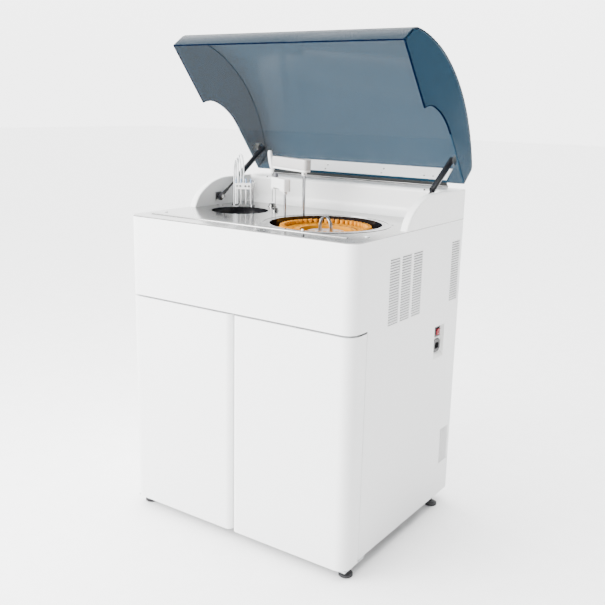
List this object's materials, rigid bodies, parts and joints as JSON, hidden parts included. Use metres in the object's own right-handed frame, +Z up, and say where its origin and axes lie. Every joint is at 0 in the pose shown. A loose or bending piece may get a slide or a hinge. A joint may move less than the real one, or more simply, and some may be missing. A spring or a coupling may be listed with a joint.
{
  "type": "chemistry analyzer",
  "caption": "Floor-standing clinical chemistry analyzer: white cabinet with two doors, a working deck with discs and arms, and a tinted transparent lid on gas struts.",
  "frame": {"origin": "centre of the floor rectangle under the analyzer with its lid open", "axes": "+X to the right as seen from the front, +Y to the back, +Z up"},
  "size_m": [0.82, 0.7086, 1.527],
  "materials": {
    "foot_rubber": "dark rubber pads on steel stems",
    "frame_steel": "light grey powder coat",
    "white_casing": "near white satin powder coat",
    "white_plastic": "white moulded plastic",
    "white_strip": "white painted sheet",
    "black_plastic": "black plastic",
    "black_gloss": "glossy black plastic",
    "red_plastic": "red translucent rocker",
    "deck_aluminium": "bare aluminium plate",
    "polished_steel": "polished steel sheet",
    "blue_acrylic": "tinted blue transparent acrylic",
    "hinge_steel": "stainless steel",
    "strut_black": "black enamelled gas strut",
    "motor_metal": "dark grey motor case",
    "clear_plastic": "clear optical plastic",
    "silver_metal": "bright anodised aluminium",
    "yellow_plastic": "yellow orange moulded plastic",
    "column_steel": "ground bright steel",
    "needle_steel": "stainless steel tube",
    "clear_tube": "clear soft tubing",
    "green_board": "circuit board lacquer",
    "tank_plastic": "natural white polyethylene"
  },
  "bodies": {
    "cabinet": {"levelling_foot_front_left": "foot_rubber", "levelling_foot_front_right": "foot_rubber", "levelling_foot_rear_left": "foot_rubber", "levelling_foot_rear_right": "foot_rubber", "door_pivot_brackets": "frame_steel", "base_frame": "frame_steel", "frame_posts": "frame_steel", "outer_casing": "white_casing", "vent_grille_right": "white_casing", "vent_grille_left": "white_casing", "back_panel": "white_casing", "fan_housing": "black_plastic", "power_pocket": "white_plastic", "mains_inlet": "black_plastic", "switch_frame": "black_plastic", "mid_shelf": "frame_steel", "deck_plate": "deck_aluminium", "worktop": "polished_steel", "lid_seal_rib": "white_plastic", "lid_buffers": "white_plastic", "hood_shell": "white_plastic", "hinge_leaf_hood": "hinge_steel", "strut_brackets": "hinge_steel", "reaction_bowl": "black_gloss", "reagent_bowl": "black_gloss", "disc_motors": "motor_metal", "arm_lift_drives": "motor_metal", "wash_station_post": "column_steel", "wash_wells": "white_plastic", "power_supply": "motor_metal", "control_board": "green_board", "syringe_pump": "white_plastic", "fluid_tanks": "tank_plastic"},
    "lid": {"lid_shell": "blue_acrylic", "lid_bracket_strip": "white_strip", "lid_strut_plates": "hinge_steel", "hinge_leaf_lid": "hinge_steel"},
    "left_strut_rod": {"strut_rod_left": "strut_black"},
    "left_strut_tube": {"strut_cylinder_left": "strut_black"},
    "right_strut_rod": {"strut_rod_right": "strut_black"},
    "right_strut_tube": {"strut_cylinder_right": "strut_black"},
    "left_door": {"left_door_shell": "white_casing", "left_door_liner": "white_casing"},
    "right_door": {"right_door_shell": "white_casing", "right_door_liner": "white_casing"},
    "reaction_carousel": {"reaction_disc": "black_gloss", "cuvettes": "clear_plastic"},
    "reagent_carousel": {"reagent_rotor": "silver_metal", "reagent_rack": "yellow_plastic", "rack_handle": "white_plastic"},
    "probe_lift": {"probe_column": "column_steel"},
    "probe_swing": {"probe_arm": "white_plastic", "probe_needle": "needle_steel"},
    "stirrer_lift": {"stirrer_column": "column_steel"},
    "stirrer_swing": {"stirrer_arm": "white_plastic"},
    "paddle": {"stirrer_paddle": "needle_steel"},
    "wash_head": {"wash_carriage": "white_plastic", "wash_tubing": "clear_tube"},
    "rocker": {"power_rocker": "red_plastic"},
    "fan": {"fan_rotor": "black_plastic"}
  },
  "joints": [
    {"name": "lid_hinge", "type": "hinge", "parent": "cabinet", "child": "lid", "pos_m": [0, 0.312, 1.071], "axis": [1, 0, 0], "range_deg": [0, 51.2]},
    {"name": "left_strut_swing", "type": "hinge", "parent": "cabinet", "child": "left_strut_rod", "pos_m": [-0.372, 0.043, 1.003], "axis": [1, 0, 0], "range_deg": [-6.29, 0.3]},
    {"name": "left_strut_slide", "type": "slide", "parent": "left_strut_rod", "child": "left_strut_tube", "axis": [0, 0.8315, 0.5556], "range_m": [-0.07838, 0.0005]},
    {"name": "right_strut_swing", "type": "hinge", "parent": "cabinet", "child": "right_strut_rod", "pos_m": [0.372, 0.043, 1.003], "axis": [1, 0, 0], "range_deg": [-6.29, 0.3]},
    {"name": "right_strut_slide", "type": "slide", "parent": "right_strut_rod", "child": "right_strut_tube", "axis": [0, 0.8315, 0.5556], "range_m": [-0.07838, 0.0005]},
    {"name": "left_door_hinge", "type": "hinge", "parent": "cabinet", "child": "left_door", "pos_m": [-0.385, -0.33, 0.378], "axis": [0, 0, -1], "range_deg": [0, 90]},
    {"name": "right_door_hinge", "type": "hinge", "parent": "cabinet", "child": "right_door", "pos_m": [0.385, -0.33, 0.378], "axis": [0, 0, 1], "range_deg": [0, 90]},
    {"name": "reaction_spin", "type": "hinge", "parent": "cabinet", "child": "reaction_carousel", "pos_m": [-0.228, -0.033, 0.93], "axis": [0, 0, 1], "continuous": true},
    {"name": "reagent_spin", "type": "hinge", "parent": "cabinet", "child": "reagent_carousel", "pos_m": [0.145, -0.09, 0.93], "axis": [0, 0, 1], "continuous": true},
    {"name": "probe_plunge", "type": "slide", "parent": "cabinet", "child": "probe_lift", "axis": [0, 0, -1], "range_m": [0, 0.05]},
    {"name": "probe_turn", "type": "hinge", "parent": "probe_lift", "child": "probe_swing", "pos_m": [-0.037, 0.057, 1.12], "axis": [0, 0, 1], "range_deg": [0, 130]},
    {"name": "stirrer_plunge", "type": "slide", "parent": "cabinet", "child": "stirrer_lift", "axis": [0, 0, -1], "range_m": [0, 0.05]},
    {"name": "stirrer_turn", "type": "hinge", "parent": "stirrer_lift", "child": "stirrer_swing", "pos_m": [-0.066, -0.006, 1.06], "axis": [0, 0, 1], "range_deg": [0, 34.3]},
    {"name": "paddle_spin", "type": "hinge", "parent": "stirrer_swing", "child": "paddle", "pos_m": [-0.13813, 0.04084, 1.03], "axis": [0, 0, 1], "continuous": true},
    {"name": "wash_plunge", "type": "slide", "parent": "cabinet", "child": "wash_head", "axis": [0, 0, -1], "range_m": [0, 0.05]},
    {"name": "rocker_tilt", "type": "hinge", "parent": "cabinet", "child": "rocker", "pos_m": [0.398, 0.1885, 0.6255], "axis": [0, 1, 0], "range_deg": [-16, 0]},
    {"name": "fan_spin", "type": "hinge", "parent": "cabinet", "child": "fan", "pos_m": [0.2, 0.297, 0.84], "axis": [0, 1, 0], "continuous": true}
  ],
  "couplings": [
    {"joint": "left_strut_swing", "follows": "lid_hinge", "ratio": -0.11694},
    {"joint": "left_strut_slide", "follows": "lid_hinge", "m_per_rad": -0.08715},
    {"joint": "right_strut_swing", "follows": "lid_hinge", "ratio": -0.11694},
    {"joint": "right_strut_slide", "follows": "lid_hinge", "m_per_rad": -0.08715}
  ]
}
